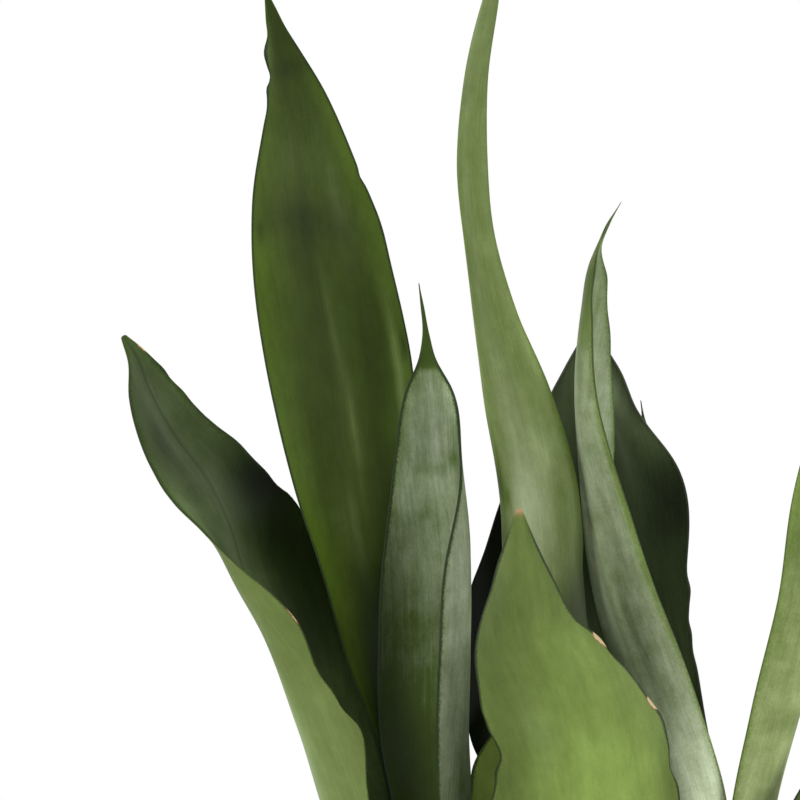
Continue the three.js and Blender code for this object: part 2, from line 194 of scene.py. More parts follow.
def srgb(red, green, blue):
    """A linear colour, fully opaque, from the 0 to 255 values seen on a screen."""
    values = [c / 255 for c in (red, green, blue)]
    return tuple(c / 12.92 if c <= 0.04045 else ((c + 0.055) / 1.055) ** 2.4 for c in values) + (1.0,)


SCAR_COLOUR = srgb(214, 190, 146)
SCAR_RIM_COLOUR = srgb(126, 92, 58)
DRIED_COLOUR = srgb(186, 150, 112)
DUST_COLOUR = srgb(96, 88, 60)

# Kinds of crumb: how many, their size range, how flat and how long they are, and their colours.
CRUMBS = {
    "peat": {
        "count": 2600, "size": (0.5, 1.5), "flat": 0.75, "long": 1.2,
        "dark": srgb(36, 27, 20), "light": srgb(84, 64, 46),
    },
    "bark": {
        "count": 420, "size": (1.4, 3.4), "flat": 0.38, "long": 1.6,
        "dark": srgb(76, 48, 30), "light": srgb(132, 96, 64),
    },
    "perlite": {
        "count": 150, "size": (0.8, 1.9), "flat": 0.85, "long": 1.1,
        "dark": srgb(188, 184, 172), "light": srgb(226, 223, 214),
    },
}
CRUMB_SEED = 7
CRUMB_CLEAR = 3  # from the pot's wall
CRUMB_LUMPS = 0.28
CRUMB_LUMPS_MOST = 1.6  # times that
CRUMB_TILT = 0.35
CRUMB_LIE = (0.1, 0.6)  # how high it lies on the soil, of its flat size


def skin(slot, inner, outer, silver, bloom, bands=0.15, groove_shade=0.0, line=0.8, streaks=0.4,
         edge=(34, 46, 30)):
    """How a leaf is coloured: its two faces, the silvery bloom and how much of it lies on each of them,
    how strongly it is banded across, by how many stops painted shade darkens the groove along its midrib
    on the inner face, how wide the line along its margin is (mm), how strong its fine streaks are, and
    the colour of that line."""
    return {
        "slot": slot, "inner": srgb(*inner), "outer": srgb(*outer), "silver": srgb(*silver),
        "bloom": bloom, "bands": bands, "groove_shade": groove_shade, "line": line, "streaks": streaks,
        "edge": srgb(*edge),
    }


# A leaf stands in a shoot at a rank, 0 innermost. Its base faces in the direction faces, and foot is its
# base's width where that isn't the usual one.
# Its rows run up to its tip. Each holds the midrib's x, y and z, the direction that the inner face looks
# in (degrees from +X), then for the left and the right half of the blade, as seen on the inner face, its
# width and how far it turns round towards the inner side (degrees).
# Its patches paint tone onto it: lighter and darker parts of the leaf's own colour and, in many of them,
# painted light and shade, such as shadows that neighbouring leaves cast, darkening low in channels and
# between leaves, and lighter parts where the blade turns away from the lights. Each holds the face
# (1 inner, -1 outer), the middle's place across the blade (-1 left margin, 1 right margin) and its
# height, its half sizes across and up, by how many stops it is lighter there and by how much the bloom
# changes; some raise the bloom to paint a pale sheen.
# Its nicks change the outline: side (-1 left, 1 right), height, half length, how far it goes outwards.
# Its scars are pale dried spots on the margin: side, height, half length, depth from the margin.
# Above the height bare_above it is a green spike without bloom. dried_tip is how long a dried tip is.
LEAVES = {
    "left_tall": {
        "shoot": "left", "rank": 1, "faces": -55,
        "skin": skin(
            "leaf_dark", (61, 81, 16), (88, 108, 52), (88, 102, 60), (0.14, 0.25), 0.1, line=0.9),
        "rows": [
            (-69.6, 14.5, 195, -56, 13, 66, 18, 80),
            (-72.6, 16, 249, -58, 20, 60, 20, 60),
            (-85.5, 18, 316, -66, 23.6, 45, 24, 45),
            (-95.3, 18, 375, -78, 28, 32, 28, 32),
            (-105, 17, 438, -86, 31.5, 22, 31.5, 22),
            (-116, 14, 501, -88, 25.5, 22, 25.5, 22),
            (-121.7, 10, 543, -85, 13.7, 25, 13.7, 25),
            (-128.5, 7, 568, -85, 6, 30, 6, 30),
            (-134, 4, 588, -85, 0.8, 30, 0.8, 30),
        ],
        "tone_and_light_patches": [
            (1, -0.95, 410, 0.25, 150, 0.55, -0.1), (1, 0.8, 421, 0.06, 30, 0.8, 0.6),
            (1, 0.66, 446, 0.08, 25, -0.4, -0.1), (1, 0.28, 430, 0.1, 20, 0.3, 0.0),
            (1, 0.57, 400, 0.15, 20, 0.35, -0.05), (1, 0.95, 470, 0.18, 45, 0.3, -0.1),
            (1, -0.25, 440, 0.35, 130, -0.4, 0.15), (1, 0.42, 425, 0.24, 90, -0.95, -0.14),
            (1, 0.0, 445, 0.05, 25, 0.35, 0.4), (1, 0.09, 407, 0.06, 24, 0.6, 0.6),
            (1, -0.12, 362, 0.06, 24, 0.35, 0.4), (1, -0.27, 364, 0.2, 16, 0.45, 0.1),
            (1, -0.2, 330, 0.2, 14, -0.5, 0.0), (1, 0.8, 365, 0.4, 28, -0.7, 0.0),
            (1, 0.43, 497, 0.17, 27, 0.25, 0.5), (1, -0.85, 492, 0.06, 5, -0.8, 0.0),
            (1, 0.93, 435, 0.04, 6, -1.1, 0.0), (1, -0.3, 518, 0.5, 18, 0.25, 0.3),
            (1, -0.15, 491, 0.4, 12, -0.6, 0.2), (1, 0.4, 487, 0.3, 7, -0.3, 0.0),
            (1, -0.3, 497, 0.6, 6, -0.35, 0.1), (1, 0.1, 540, 0.5, 15, -0.35, 0.1),
            (1, 0.0, 575, 2, 24, -0.9, 0.05), (1, 0.1, 557, 1.2, 3.5, -0.55, 0.1),
            (1, 0.0, 400, 2, 26, 0.25, 0.0), (1, -0.95, 570, 0.3, 16, 0.9, 0.3),
            (1, 0.95, 424, 0.12, 14, 0.5, 0.0), (1, 0.9, 522, 0.2, 28, 0.45, 0.0),
            (1, -0.8, 482, 0.35, 12, 0.35, 0.0), (1, -0.12, 475, 0.13, 50, -0.45, -0.05),
            # From here: a lighter band by the left margin, then in the last three patches the painted
            # shadow that left_young casts across the lower inner face.
            (1, -0.75, 350, 0.4, 28, 0.95, 0.0), (1, 0.15, 322, 0.3, 22, -2.0, -0.15),
            (1, -0.25, 302, 0.22, 18, -1.9, -0.1), (1, -0.48, 282, 0.22, 15, -1.7, -0.1),
        ],
        "nicks": [
            (-1, 572.5, 3, -0.8), (-1, 565.5, 4, 1.8), (-1, 555.5, 3, -2.0), (-1, 551.5, 2, 0.6),
            (-1, 543, 5, -0.6), (1, 574, 6, -0.5), (1, 509, 3, -0.8), (1, 487, 14, 1.0),
        ],
    },
    "left_outer": {
        "shoot": "left", "rank": 2, "faces": -5,
        # Its groove along the midrib is painted 0.5 stops darker as shade.
        "skin": skin(
            "leaf_dark", (54, 71, 28), (113, 132, 68), (96, 107, 82), (0.16, 0.08), 0.08, -0.5, line=0.7),
        "rows": [
            (-110, 2, 249, -5, 33, 96, 44, 75),
            (-118, 3, 276, -12, 40, 118, 46, 58),
            (-125, 4, 297, -17, 31, 104, 46, 51),
            (-133.8, 5, 323, -24, 38.5, 93, 46, 45),
            (-143.9, 5, 344, -31, 31.5, 82, 43, 41),
            (-150.8, 3, 366, -46, 24, 56, 32, 34),
            (-160, 0, 385, -58, 23.2, 38, 20, 28),
            (-172, -4, 401.5, -62, 18.5, 32, 15.8, 28),
            (-182.6, -8, 421, -65, 11.5, 30, 10.5, 30),
            (-188, -11, 435, -65, 4.5, 30, 5, 30),
            (-192.8, -12, 443, -65, 1.5, 20, 1.5, 20),
        ],
        "tone_and_light_patches": [
            (1, -0.2, 405, 0.12, 16, 0.15, 0.4), (1, -0.6, 375, 0.25, 40, 0.1, 0.2),
            (1, 0.1, 418, 0.4, 9, 0.15, 0.2), (1, -0.45, 402, 0.28, 9, -0.8, -0.1),
            (1, -0.3, 387, 0.3, 9, -0.3, -0.05), (1, -0.1, 357, 0.25, 16, 0.5, 0.2),
            # Dark patches on the right of the inner face (-2.9, -1.2 and -0.8 stops) paint the shade that
            # left_tall casts there.
            (1, -0.05, 385, 0.3, 16, 0.1, 0.1), (1, 0.9, 374, 0.4, 10, -2.9, -0.3),
            (1, 0.55, 362, 0.36, 17, -1.2, -0.2), (1, 0.15, 337, 0.35, 16, 0.8, 0.0),
            (1, 0.7, 335, 0.4, 20, -0.8, -0.2), (1, 0.8, 262, 0.5, 30, 1.2, 0.05),
            (1, -0.85, 378, 0.3, 20, 0.9, 0.1), (1, 0.0, 442, 2, 7, 0.8, 0.0),
            (1, 0.9, 422, 0.35, 14, 0.5, 0.1), (1, 0.6, 293, 0.3, 12, 0.6, 0.0),
            (1, -0.9, 431, 0.35, 8, 0.4, 0.0), (-1, 0.0, 250, 2, 35, 0.35, 0.1),
            # The lighter patches on the outer face paint light where the blade turns away from the
            # lights, with more bloom as a pale sheen.
            (-1, -0.05, 255, 0.3, 30, 1.3, 0.75), (-1, -0.14, 292, 0.24, 20, 1.3, 0.6),
            (-1, -0.38, 332, 0.22, 14, 0.6, 0.45),
        ],
        "nicks": [
            (-1, 402, 8, 0.6), (-1, 393, 4, 0.6), (-1, 281, 6.5, -3.0), (1, 427, 4, 1.0),
            (1, 415, 4, 0.5), (1, 387, 6, 1.4), (1, 370, 4.5, -1.8),
        ],
        "scars": [(1, 437, 3.5, 0.35), (1, 368, 3, 0.3), (-1, 322, 5, 0.25)],
    },
    "left_young": {
        "shoot": "left", "rank": 0, "faces": -110,
        "skin": skin(
            "leaf_silver", (79, 103, 33), (96, 114, 60), (148, 159, 133), (0.6, 0.7), 0.2, line=1.5),
        "rows": [
            (-54.5, -6, 249, -118, 28, 60, 30, 168),
            (-56.5, -7, 280, -117, 31, 50, 33, 157),
            (-57, -7, 312, -115, 31, 45, 35, 152),
            (-58.3, -8, 354, -108, 27, 35, 33.5, 145),
            (-63.3, -9, 396, -98, 17, 30, 17.5, 82),
            (-65.5, -9, 421, -90, 10.5, 30, 10.5, 40),
            (-66.4, -9, 435, -90, 3.5, 30, 3.5, 30),
            (-66.8, -9, 443, -90, 1.7, 20, 1.7, 20),
            (-69.7, -8, 465, -90, 0.7, 10, 0.7, 10),
        ],
        "tone_and_light_patches": [
            (1, 0.1, 402, 0.14, 16, 0.1, 0.3), (1, 0.7, 405, 0.4, 22, -0.1, 0.0),
            (1, 0.0, 428, 2, 7, -0.1, -0.2), (1, 0.6, 422, 0.5, 14, 0.35, 0.0),
            (1, -0.9, 415, 0.25, 14, 0.35, 0.0), (1, 0.92, 422, 0.22, 18, 0.5, 0.0),
            (1, -0.1, 275, 0.2, 14, -0.4, 0.0), (1, 0.0, 380, 0.5, 12, 0.25, 0.0),
            (1, -0.65, 265, 0.2, 38, -0.4, 0.0), (1, -0.15, 296, 0.15, 25, 0.3, 0.0),
            (1, -0.2, 388, 0.6, 3, -0.1, -0.25), (1, 0.5, 392, 0.25, 3, -0.15, -0.35),
            # Darker patches low on the blade, on its left, over the whole lower inner face and the lower
            # outer face, paint shade deep in the channel between the leaves; the bloom there is thinner
            # too.
            (1, -0.3, 371, 0.2, 4, -0.1, -0.2), (1, -0.95, 310, 0.35, 60, -1.2, -0.15),
            (1, -0.9, 390, 0.2, 30, -0.2, -0.3), (1, -0.8, 382, 0.3, 14, 0.7, 0.25),
            (1, 0.1, 354, 0.8, 12, 0.35, 0.12), (1, -0.9, 268, 0.3, 45, -0.6, 0.0),
            (1, 0.0, 210, 2, 105, -1.3, -1.2), (1, 0.05, 258, 0.35, 22, 0.4, -0.2),
            (-1, 0.0, 315, 2, 30, 0.35, 0.0), (-1, 0.0, 225, 2, 45, -1.3, -0.4),
            (-1, 0.0, 330, 2, 20, 0.2, 0.2), (-1, 0.62, 350, 0.15, 30, -0.35, 0.0),
        ],
        "bare_above": 430,
    },
    "middle_front": {
        "shoot": "middle", "rank": 2, "faces": 88,
        "skin": skin(
            "leaf_light", (70, 90, 36), (106, 127, 57), (128, 142, 104), (0.1, 0.08), 0.15,
            line=1.5, streaks=0.15),
        "rows": [
            (-3, -47, 249, 88, 42.5, 35, 41, 35),
            (-7, -53, 275, 88, 39, 30, 31.3, 30),
            (-14.6, -57, 300, 88, 30, 26, 33.5, 26),
            (-23.6, -59, 321, 87, 20, 25, 25, 25),
            (-27, -61, 342, 86, 12.5, 25, 14.5, 25),
            (-28.6, -61, 356, 86, 7.5, 25, 8, 25),
            (-29.4, -61, 372, 86, 1.5, 20, 1.5, 20),
        ],
        "tone_and_light_patches": [
            (-1, 0.75, 320, 0.5, 35, -0.35, 0.05), (-1, 0.0, 340, 2, 16, -0.2, 0.05),
            # Low on the outer face the lighter patch is partly the paler young base and partly painted
            # light; the darker one at the lower edge below is painted shade.
            (-1, -0.3, 250, 1.2, 42, 0.85, 0.0), (-1, -0.5, 310, 0.4, 20, 0.3, 0.05),
            (-1, 0.85, 256, 0.3, 26, -0.7, 0.0), (-1, 0.35, 285, 0.2, 14, 0.1, 0.15),
            (-1, -0.8, 362, 0.4, 12, -0.35, 0.0), (-1, -0.2, 270, 0.4, 22, 0.12, 0.0),
            (-1, -0.95, 250, 0.18, 24, -0.8, 0.0),
        ],
        "nicks": [
            (-1, 303, 4, -1.6),
            (-1, 276.5, 6, 1.6),
            (-1, 259.5, 5.5, -2.4),
            (1, 351, 7, 0.7),
            (1, 318, 6, 0.9),
            (1, 297, 6, -1.2),
            (1, 268, 6, 2.4),
        ],
        "scars": [(-1, 308.7, 4.2, 1.9), (-1, 282.3, 3.6, 1.4)],
        "dried_tip": 2.4,
    },
    "middle_tall": {
        "shoot": "middle", "rank": 0, "faces": 75,
        "skin": skin(
            "leaf_light", (76, 96, 40), (106, 127, 58), (150, 161, 124), (0.2, 0.2), 0.12, line=0.6),
        "rows": [
            (-9, -22, 249, 75, 20, 60, 20, 60),
            (-19.2, -22, 333, 74, 20, 55, 18.8, 55),
            (-23.8, -22, 383, 74, 20.3, 55, 18.8, 55),
            (-30.7, -21, 417, 74, 17.5, 55, 16, 55),
            (-39.8, -19, 451, 74, 11.5, 55, 10.5, 55),
            (-45.7, -17, 484, 74, 8.2, 55, 7, 55),
            (-48.8, -15, 516, 74, 8, 55, 7.2, 55),
            (-46.6, -13, 551, 74, 5.9, 55, 5.9, 55),
            (-39.9, -11, 585, 74, 3.7, 50, 3.7, 50),
            (-35, -9, 604, 74, 0.8, 30, 0.8, 30),
        ],
        "tone_and_light_patches": [
            (-1, 0.2, 372, 0.35, 16, 0.3, 0.4), (-1, 0.0, 368, 0.5, 32, 0.1, 0.5),
            (-1, 0.1, 410, 0.3, 25, 0.0, 0.2), (-1, 0.85, 384, 0.14, 9, -0.8, -0.8),
            (-1, 0.6, 378, 0.12, 5, -0.3, -0.4), (-1, 0.9, 350, 0.15, 40, -0.1, -0.2),
            # These two paint the shade that right_young casts low on the edge beside it.
            (-1, -0.97, 350, 0.12, 40, -1.1, -0.5), (-1, -0.7, 322, 0.4, 24, -2.0, -0.1),
            (-1, -0.6, 375, 0.22, 20, -0.4, -0.2), (-1, -0.45, 392, 0.25, 10, 0.2, 0.2),
            (-1, 0.0, 590, 2, 30, -0.1, 0.1), (-1, 0.3, 545, 0.5, 12, -0.2, 0.0),
            # The patches at 0.95 and the one at 0.9 below paint a pale highlight along that margin.
            (-1, 0.95, 470, 0.12, 90, 0.6, 0.1), (-1, 0.95, 385, 0.15, 30, 0.7, 0.1),
            (-1, 0.9, 575, 0.3, 25, 0.4, 0.7), (-1, 0.75, 374, 0.2, 14, 0.7, 0.1),
            (-1, 0.3, 460, 0.5, 50, -0.15, 0.0), (-1, -0.9, 425, 0.22, 28, 0.7, 0.1),
            (-1, -0.9, 340, 0.2, 20, -0.6, -0.1),
        ],
        "nicks": [(-1, 357, 8, 0.8), (-1, 323, 8, -1.0), (1, 545, 50, -0.6)],
    },
    "middle_back": {
        "shoot": "middle", "rank": 3, "faces": -85, "foot": 36,
        "skin": skin(
            "leaf_dark", (32, 42, 20), (72, 92, 42), (90, 102, 70), (0.0, 0.2), 0.1, edge=(16, 20, 14)),
        "rows": [
            (-14, 20, 249, -85, 22, 35, 22, 35),
            (-23, 20, 283, -85, 27, 30, 27, 30),
            (-25.5, 21, 320, -85, 27.5, 25, 27.5, 25),
            (-25, 22, 350, -85, 18.5, 25, 18.5, 25),
            (-24.6, 22, 375, -85, 10.5, 25, 9, 25),
            (-23, 23, 398, -85, 0.8, 20, 0.8, 20),
        ],
        "tone_and_light_patches": [
            # The first patch darkens the whole inner face by 1.7 stops: painted shade, where the leaf
            # stands behind the others.
            (1, 0, 320, 2, 100, -1.7, 0.0), (1, -0.85, 280, 0.3, 14, 1.1, 0.0),
        ],
        "nicks": [(-1, 337, 14, 0.9), (-1, 277, 9, 1.6)],
    },
    "middle_short": {
        "shoot": "middle", "rank": 1, "faces": -95, "foot": 26,
        # Its inner colour is lighter than its outer one, and its patch lightens it more: painted light
        # over a leaf that stands in the others' shade.
        "skin": skin("leaf_dark", (128, 150, 66), (84, 104, 44), (98, 112, 70), (0.05, 0.1), 0.1),
        "rows": [
            (-28, 2, 230, -85, 20, 35, 18, 35),
            (-30, 3, 250, -85, 18, 30, 17, 30),
            (-30, 4, 268, -85, 14, 25, 12, 25),
            (-28, 5, 282, -85, 6, 25, 6, 25),
            (-26.5, 5, 292, -85, 0.8, 20, 0.8, 20),
        ],
        "tone_and_light_patches": [(1, 0.3, 270, 0.9, 14, 0.7, 0.5)],
        "nicks": [(-1, 262, 7, 2.1), (-1, 248, 9, 3.2)],
    },
    "right_young": {
        "shoot": "right", "rank": 0, "faces": 50,
        "skin": skin(
            "leaf_silver", (116, 138, 80), (106, 126, 64), (160, 171, 142), (0.68, 0.6), 0.3, line=0.7),
        "rows": [
            (39, -8, 249, 55, 21, 85, 21.5, 80), (24.5, -12, 291, 50, 22.5, 60, 23, 70),
            (9.7, -14, 333, 40, 21.5, 65, 25, 70), (0.4, -14, 375, 20, 20.5, 65, 33, 84),
            (-4, -14, 417, -7, 21, 60, 26, 69), (-1, -13, 455, -15, 14, 60, 15, 62),
            (2, -12, 473, -15, 8, 60, 9, 60), (5.5, -11, 482, -10, 2, 40, 2, 40),
            (9, -10, 490, -10, 1.2, 20, 1.2, 20), (14.3, -9, 499, -10, 0.7, 10, 0.7, 10),
        ],
        "tone_and_light_patches": [
            (-1, -0.1, 335, 0.06, 42, -0.45, -0.2), (-1, -0.35, 318, 0.12, 30, -0.7, -0.2),
            # Lighter patches on the outer face, at its edge beside middle_tall and across its base, paint
            # light where the other leaves keep it in shade.
            (-1, 0.93, 335, 0.22, 60, 0.8, 0.15), (-1, -0.95, 360, 0.12, 70, 0.2, -0.7),
            (-1, 0.0, 242, 2, 36, 1.3, 0.45), (-1, 0.0, 408, 2, 14, 0.2, 0.05),
            (-1, 0.0, 456, 2, 22, 0.1, -0.7), (-1, 0.0, 468, 2, 16, -0.8, -0.5),
            (-1, 0.45, 332, 0.3, 34, 1.3, 0.2), (-1, 0.15, 370, 0.15, 24, 1.2, 0.2),
            (-1, -0.15, 340, 0.12, 50, 0.3, 0.0), (-1, -0.62, 345, 0.15, 35, -0.3, 0.0),
            (1, 0.0, 385, 2, 50, 0.3, 0.1), (1, 0.0, 462, 2, 14, -0.1, -0.4),
            (-1, 0.0, 495, 2, 8, 0.9, 0.0),
        ],
        "nicks": [(-1, 460, 7, -1.3), (-1, 388, 16, -0.7), (1, 473, 7, 1.0), (1, 447, 9, 0.8)],
        "bare_above": 484,
    },
    "right_outer": {
        "shoot": "right", "rank": 3, "faces": 150,
        "skin": skin(
            "leaf_light", (84, 104, 48), (120, 143, 68), (174, 183, 138), (0.15, 0.28), 0.5, line=0.5),
        "rows": [
            (77.6, -2, 249, 150, 26, 70, 20, 60),
            (86.1, -3, 283, 150, 28, 60, 22.2, 56),
            (97.4, -5, 330, 150, 27.5, 50, 24, 46),
            (104.8, -6, 375, 145, 25, 45, 23.6, 44),
            (109.5, -8, 420, 145, 15, 45, 15, 45),
            (107, -9, 459, 145, 1, 30, 1, 30),
        ],
        "tone_and_light_patches": [
            # The lighter patches low on the outer face paint light; the 1.0 stop one offsets the shade
            # that right_low casts on the lower corner.
            (-1, 0, 250, 2, 45, 0.4, 0.2), (-1, -0.4, 245, 0.4, 14, 0.3, 0.0),
            (-1, 0.8, 345, 0.5, 30, -0.15, -0.1), (-1, 0.2, 281, 0.5, 5, -0.3, -0.15),
            (-1, 0.6, 357, 0.5, 12, -0.3, -0.1), (-1, -0.35, 250, 0.45, 14, 1.0, 0.0),
            (-1, 0.8, 385, 0.6, 25, 0.1, -0.25),
        ],
    },
    "right_back": {
        "shoot": "right", "rank": 2, "faces": -90,
        "skin": skin(
            "leaf_dark", (55, 67, 38), (78, 98, 46), (92, 103, 78), (0.15, 0.2), 0.06,
            line=0.7, edge=(92, 94, 88)),
        "rows": [
            (37, 26, 249, -92, 23, 40, 23, 40),
            (26.5, 28, 283, -92, 27, 30, 27, 30),
            (15.5, 30, 330, -92, 29.5, 25, 30.5, 25),
            (9.5, 30, 379, -92, 32, 22, 34.5, 22),
            (4, 29, 413, -92, 21.5, 22, 19.5, 22),
            (3.5, 28, 429, -92, 12.5, 22, 13.5, 22),
            (3.5, 27, 446, -92, 2.5, 20, 2.5, 20),
        ],
        "tone_and_light_patches": [
            (1, -0.4, 420, 0.6, 25, 0.4, 0.2), (1, 0.6, 419, 0.3, 14, 1.1, 0.5),
            (1, 0.3, 425, 0.3, 10, 0.5, 0.2), (1, 0.35, 400, 0.1, 25, 0.4, 0.3),
            # The two darker patches low on the inner face paint shade from the leaves in front.
            (1, 0.85, 396, 0.25, 11, 0.9, 0.1), (1, 0.8, 370, 0.3, 15, -1.2, -0.1),
            (1, 0.0, 303, 2, 28, 0.8, 0.0), (1, -0.38, 355, 0.2, 25, -1.0, -0.1),
        ],
        "nicks": [
            (1, 398, 12, -0.9),
            (1, 331, 6, 1.8),
            (1, 317, 4, -0.8),
            (1, 304, 6, -0.9),
        ],
    },
    "right_low": {
        "shoot": "right", "rank": 4, "faces": 172,
        "skin": skin("leaf_dark", (48, 62, 26), (72, 90, 40), (92, 104, 70), (0.1, 0.15), 0.1),
        "rows": [
            (84, -6, 190, 168, 22, 50, 20, 45),
            (88, -7, 225, 165, 18, 38, 18, 38),
            (90.5, -8, 246, 165, 12, 35, 12, 35),
            (93.5, -8.5, 254.5, 165, 8.5, 30, 8.5, 30),
            (101, -9, 270, 165, 1, 20, 1, 20),
        ],
    },
    "pup_spear": {
        "shoot": "pup", "rank": 0, "faces": -120,
        "skin": skin("leaf_silver", (92, 112, 58), (96, 115, 60), (144, 155, 122), (0.5, 0.5), 0.2),
        "rows": [
            (30, 50, 249, -110, 17, 70, 17, 70),
            (29, 54, 330, -105, 19, 45, 19, 45),
            (29, 57, 375, -100, 12, 35, 12, 35),
            (28.5, 58, 401, -100, 2.6, 30, 2.6, 30),
            (27.8, 59, 409, -100, 1, 20, 1, 20),
            (26.9, 60, 416, -100, 0.7, 10, 0.7, 10),
        ],
        "tone_and_light_patches": [
            (1, 0, 410, 2, 12, -0.2, -0.8),
        ],
        "bare_above": 398,
    },
}


# ---- meshes

def new_piece(name, verts, faces, attributes=None):
    """A smooth-shaded mesh object from points in millimetres."""
    mesh = bpy.data.meshes.new(name)
    mesh.from_pydata((np.asarray(verts, float) * MM).tolist(), [], faces)
    for key, values in (attributes or {}).items():
        layer = mesh.attributes.new(key, "FLOAT", "POINT")
        layer.data.foreach_set("value", np.asarray(values, np.float32))
    mesh.shade_smooth()
    piece = bpy.data.objects.new(name, mesh)
    bpy.context.scene.collection.objects.link(piece)
    return piece


def finish_piece(piece, material, node):
    """Dresses a piece, puts it in the place of its CAD node and lets it ride on the plant."""
    piece.data.materials.append(material)
    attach(piece, "root")
    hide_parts(node)


def unit(vectors):
    return vectors / np.linalg.norm(vectors, axis=-1, keepdims=True)


def smooth_step(value, low, high):
    share = np.clip((value - low) / (high - low), 0, 1)
    return share * share * (3 - 2 * share)


def closed_faces(rings, loop):
    """Quads between rings of points, each ring closed on itself, and fans that close the first ring and
    the last one to the two points after all rings."""
    low = np.arange(rings - 1)[:, None] * loop + np.arange(loop)
    beside = np.arange(rings - 1)[:, None] * loop + (np.arange(loop) + 1) % loop
    faces = np.stack([low, beside, beside + loop, low + loop], axis=-1).reshape(-1, 4).tolist()
    count = rings * loop
    top = count - loop
    for j in range(loop):
        after = (j + 1) % loop
        faces.append((after, j, count))
        faces.append((top + j, top + after, count + 1))
    return faces


# ---- leaves

def leaf_rows(leaf):
    """The upright rows of the leaf's base, an arc round the axis of its shoot, and then its own rows."""
    rank = leaf["rank"]
    radius = CORE_RADIUS + rank * SHEATH_STEP
    half = leaf.get("foot", FOOT_WIDTH + rank * FOOT_WIDER) / 2
    turn = math.degrees(half / radius)
    facing = math.radians(leaf["faces"])
    x, y = SHOOTS[leaf["shoot"]]
    x -= radius * math.cos(facing)
    y -= radius * math.sin(facing)
    foot = [(x, y, z, leaf["faces"], half, turn, half, turn) for z in (LEAF_FOOT, LEAF_FREE)]
    return np.array(foot + leaf["rows"], float)


def smooth_rows(rows):
    """Values and directions along a smooth cubic through the rows, every ROW_STEP or less."""
    spans = np.linalg.norm(np.diff(rows[:, :3], axis=0), axis=1)[:, None]
    rates = np.diff(rows, axis=0) / spans
    middle = (rates[:-1] * spans[1:] + rates[1:] * spans[:-1]) / (spans[:-1] + spans[1:])
    slopes = np.vstack([rates[:1], middle, rates[-1:]])
    values, ways = [], []
    for i, span in enumerate(spans[:, 0]):
        steps = math.ceil(span / ROW_STEP)
        last = i == len(spans) - 1
        f = (np.arange(steps + last) / steps)[:, None]
        values.append(
            (2 * f**3 - 3 * f**2 + 1) * rows[i] + (3 * f**2 - 2 * f**3) * rows[i + 1]
            + span * ((f**3 - 2 * f**2 + f) * slopes[i] + (f**3 - f**2) * slopes[i + 1]))
        ways.append(
            6 * (f**2 - f) * (rows[i] - rows[i + 1])
            + span * ((3 * f**2 - 4 * f + 1) * slopes[i] + (3 * f**2 - 2 * f) * slopes[i + 1]))
    return np.vstack(values), unit(np.vstack(ways)[:, :3])


def outline_change(leaf, height, across):
    """How far the leaf's nicks and bumps move its margin outwards."""
    change = np.zeros(np.broadcast_shapes(height.shape, across.shape))
    for side, middle, half_length, amount in leaf.get("nicks", []):
        change += (across * side > 0) * amount * np.exp(-(((height - middle) / half_length) ** 2))
    return change


def tone_and_light_sums(leaf, height, across, face):
    """Changes of tone and bloom from the leaf's patches, with the light and shade that they paint."""
    tone_and_light = np.zeros(np.broadcast_shapes(height.shape, across.shape))
    bloom = np.zeros_like(tone_and_light)
    for which, place, middle, wide, high, more_tone_and_light, more_bloom in leaf.get("tone_and_light_patches", []):
        near = np.exp(-(((across - place) / wide) ** 2) - ((height - middle) / high) ** 2)
        near = near * (face * which >= 0)
        tone_and_light += more_tone_and_light * near
        bloom += more_bloom * near
    return tone_and_light, bloom


def out_of_surface(z, across, rise, phase):
    """How far the blade waves and buckles out of its surface."""
    swell = smooth_step(z, LEAF_FREE, LEAF_FREE + WAVE_LENGTH) * (1 - rise)
    wave = WAVE_HEIGHT * swell * np.sin(2 * np.pi * z / WAVE_LENGTH + phase)
    uneven = 1
    for length, turn, phases in BUCKLE_WAVES:
        uneven = uneven * np.sin(z / length + across * turn + phases * phase)
    return wave * across * np.abs(across) + BUCKLE * swell * uneven


def half_thickness(left, right, half, across, rise):
    """Half the blade's thickness, from the midrib to the round margin."""
    rib = np.minimum(
        LEAF_THICK_LOW + (LEAF_THICK_HIGH - LEAF_THICK_LOW) * rise,
        np.minimum(LEAF_EDGE, left) + (left + right) * THICK_PER_WIDTH)
    edge = np.minimum(LEAF_EDGE, half)
    margin = (1 - np.abs(across)) * half
    rounding = np.minimum(EDGE_ROUND, half / 2)
    closing = np.sqrt(1 - np.clip(1 - margin / rounding, 0, 1) ** 2)
    return (edge + (np.maximum(rib, edge) - edge) * (1 - across**2)) / 2 * closing


def curled_points(values, along, radius, angle, lift):
    """Points of the blade's surface: from each midrib point along an arc, and then off it by the lift."""
    facing = np.radians(values[:, 3, None])
    inward = np.concatenate([np.cos(facing), np.sin(facing), np.zeros_like(facing)], axis=1)
    inward = unit(inward - along * np.sum(inward * along, axis=1, keepdims=True))
    sideways = np.cross(along, inward)

    def spread(amounts, vectors):
        return amounts[:, :, None] * vectors[:, None, :]

    normal = spread(np.cos(angle), inward) - spread(np.sin(angle), sideways)
    return (
        values[:, None, :3]
        + spread(radius * np.sin(angle), sideways)
        + spread(radius * (1 - np.cos(angle)), inward)
        + lift[:, :, None] * normal)


